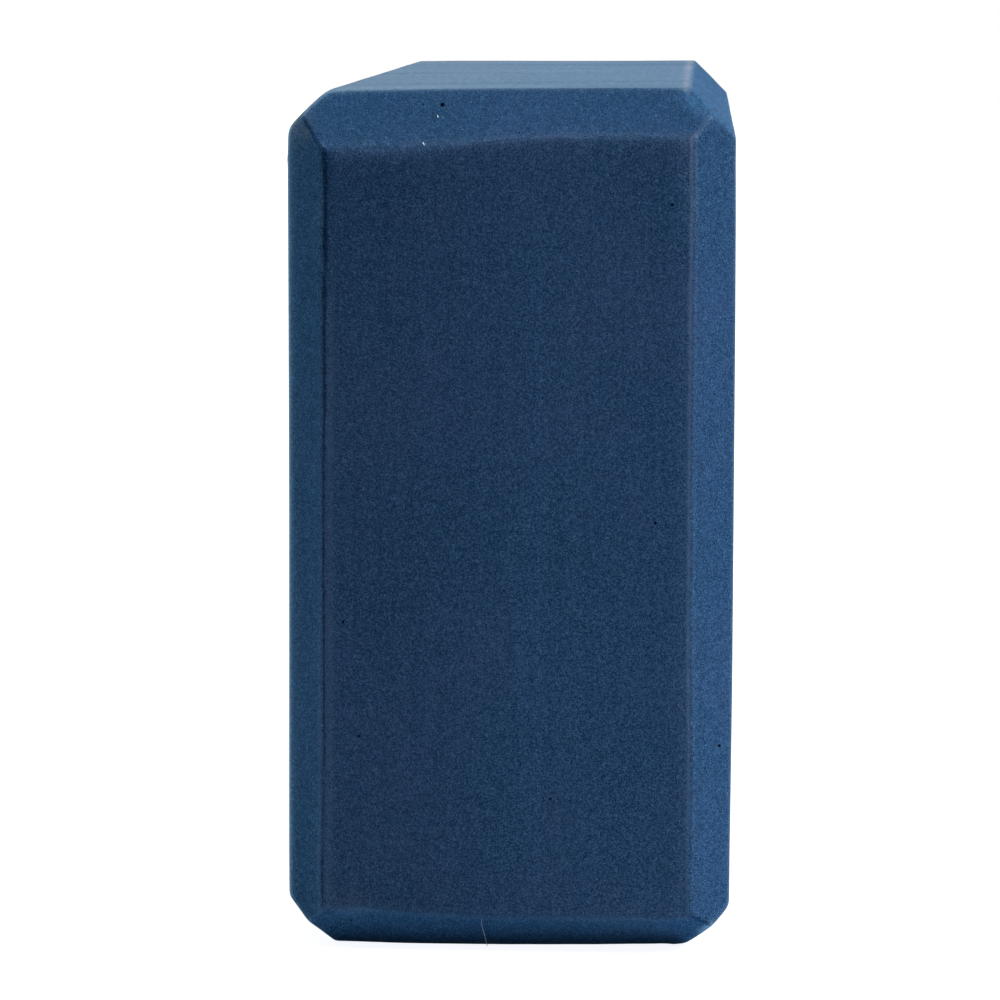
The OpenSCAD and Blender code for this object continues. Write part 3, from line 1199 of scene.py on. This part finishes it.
def floor_material():
    """A pale floor that the camera sees as white, but for the block's shadow."""
    material, graph, surface = new_material("pale_floor")
    lit = graph.result("ShaderNodeBsdfDiffuse", {"Color": FLOOR_LIT})
    seen = graph.result("ShaderNodeBsdfDiffuse", {"Color": FLOOR_SEEN})
    glow = graph.result("ShaderNodeEmission", {"Color": FLOOR_GLOW, "Strength": 1.0})
    glowing = graph.result("ShaderNodeAddShader", {0: seen, 1: glow})
    mixed = graph.result("ShaderNodeMixShader", {0: graph.seen_straight(), 1: lit, 2: glowing})
    graph.feed(surface, mixed)
    return material


def build_world(fill, back_fill):
    """A white backdrop for the camera, and for everything else an even light that is stronger behind."""
    world = bpy.data.worlds.new("studio")
    bpy.context.scene.world = world
    world.use_nodes = True
    world.node_tree.nodes.clear()
    graph = Graph(world.node_tree)
    direction = graph.result("ShaderNodeTexCoord", output="Generated")
    behind = graph.value(graph.result("ShaderNodeSeparateXYZ", {"Vector": direction}, "Y"))
    strength = fill + behind.ramp(*BEHIND) * back_fill
    white = graph.result("ShaderNodeBackground", {"Color": WHITE, "Strength": 1.0})
    light = graph.result("ShaderNodeBackground", {"Color": WHITE, "Strength": strength})
    mixed = graph.result("ShaderNodeMixShader", {0: graph.seen_straight(), 1: light, 2: white})
    graph.node("ShaderNodeOutputWorld", {"Surface": mixed})


def add_sun(name, direction, softness, strength):
    """A broad, even light that shines from a direction."""
    light = bpy.data.lights.new(name, "SUN")
    light.angle = softness
    light.energy = strength
    lamp = bpy.data.objects.new(name, light)
    lamp.location = MIDDLE + Vector(direction)
    lamp.rotation_euler = Vector(direction).to_track_quat("Z", "Y").to_euler()
    bpy.context.scene.collection.objects.link(lamp)


def add_camera(studio):
    """The camera, level across and looking slightly down."""
    camera = bpy.data.cameras.new("camera")
    camera.sensor_width = 36.0
    camera.lens = studio.lens
    camera.clip_start = 0.01
    camera.clip_end = 50.0
    eye = bpy.data.objects.new("camera", camera)
    eye.location = studio.eye
    look = Euler((math.pi / 2 - studio.pitch, 0.0, studio.yaw)).to_matrix()
    eye.rotation_euler = (look @ Matrix.Rotation(studio.roll, 3, "Z")).to_euler()
    bpy.context.scene.collection.objects.link(eye)
    bpy.context.scene.camera = eye


# ---- Operators ----


def show(piece):
    """Links a new object into the scene."""
    bpy.context.scene.collection.objects.link(piece)
    return piece


class FOAMBLOCK_OT_make_block(Operator):
    """Make the foam block, with its bevels, its scores and its pinholes"""

    bl_idname = "foamblock.make_block"
    bl_label = "Make Block"

    def execute(self, context):
        scene = context.scene
        sizes = scene.foam_block_sizes
        pits = scene.foam_block_pits
        foam = foam_material(scene.foam_block_colours)
        block = show(bpy.data.objects.new("foam_block_body", block_mesh(sizes)))
        context.view_layer.update()
        cutters = [show(knife_cuts(block, sizes)), show(placed_pits(block))]
        modifier = block.modifiers.new("cuts", "NODES")
        modifier.node_group = cutting_tree()
        inputs = {
            "Knife Cuts": cutters[0], "Placed Pits": cutters[1], "Foam": foam,
            "Pits per Square Metre": pits.per_square_metre, "Smallest": pits.smallest,
            "Largest": pits.largest, "Seed": pits.seed,
        }
        set_modifier_inputs(modifier, inputs)
        settle_modifiers(block)
        for cutter in cutters:
            bpy.data.objects.remove(cutter)
        mark_surface(block.data, sizes)
        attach(block, BODY)
        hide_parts(NODE)
        return {"FINISHED"}


class FOAMBLOCK_OT_add_lint(Operator):
    """Add the hair and the flecks of lint that cling to the block's front"""

    bl_idname = "foamblock.add_lint"
    bl_label = "Add Lint"

    def execute(self, context):
        scene = context.scene
        lint = show(bpy.data.objects.new("lint", lint_mesh(bpy.data.objects["foam_block_body"])))
        lint.data.materials.append(lint_material(scene.foam_block_colours))
        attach(lint, BODY)
        return {"FINISHED"}


class FOAMBLOCK_OT_set_stage(Operator):
    """Set the floor, the lights and the camera"""

    bl_idname = "foamblock.set_stage"
    bl_label = "Set Stage"

    def execute(self, context):
        studio = context.scene.foam_block_studio
        corners = [(x * FLOOR_HALF, y * FLOOR_HALF, 0.0) for x, y in ((-1, -1), (1, -1), (1, 1), (-1, 1))]
        mesh = new_mesh("floor", corners, [(0, 1, 2, 3)])
        mesh.materials.append(floor_material())
        show(bpy.data.objects.new("floor", mesh))
        build_world(studio.fill, studio.back_fill)
        add_sun("key_light", KEY_DIRECTION, studio.key_softness, studio.key)
        add_camera(studio)
        return {"FINISHED"}


class FOAMBLOCK_PT_panel(Panel):
    """The foam block's steps and sizes"""

    bl_idname = "FOAMBLOCK_PT_panel"
    bl_label = "Foam Block"
    bl_space_type = "VIEW_3D"
    bl_region_type = "UI"
    bl_category = "Foam Block"

    def draw(self, context):
        layout = self.layout
        for operator in OPERATORS:
            layout.operator(operator.bl_idname)
        for group in GROUPS:
            settings = getattr(context.scene, group)
            box = layout.box()
            box.label(text=settings.bl_rna.name)
            for name in settings.__annotations__:
                box.prop(settings, name)


OPERATORS = (FOAMBLOCK_OT_make_block, FOAMBLOCK_OT_add_lint, FOAMBLOCK_OT_set_stage)
GROUPS = {
    "foam_block_sizes": FoamBlockSizes,
    "foam_block_pits": FoamBlockPits,
    "foam_block_colours": FoamBlockColours,
    "foam_block_studio": FoamBlockStudio,
}


CLASSES = (*GROUPS.values(), *OPERATORS, FOAMBLOCK_PT_panel)


def register():
    for made in CLASSES:
        bpy.utils.register_class(made)
    for name, group in GROUPS.items():
        setattr(bpy.types.Scene, name, PointerProperty(type=group))


def unregister():
    for name in GROUPS:
        delattr(bpy.types.Scene, name)
    for made in reversed(CLASSES):
        bpy.utils.unregister_class(made)


def main():
    register()
    bpy.context.scene.view_settings.view_transform = "Standard"
    bpy.ops.foamblock.make_block()
    bpy.ops.foamblock.add_lint()
    bpy.ops.foamblock.set_stage()


if __name__ == "__main__":
    main()
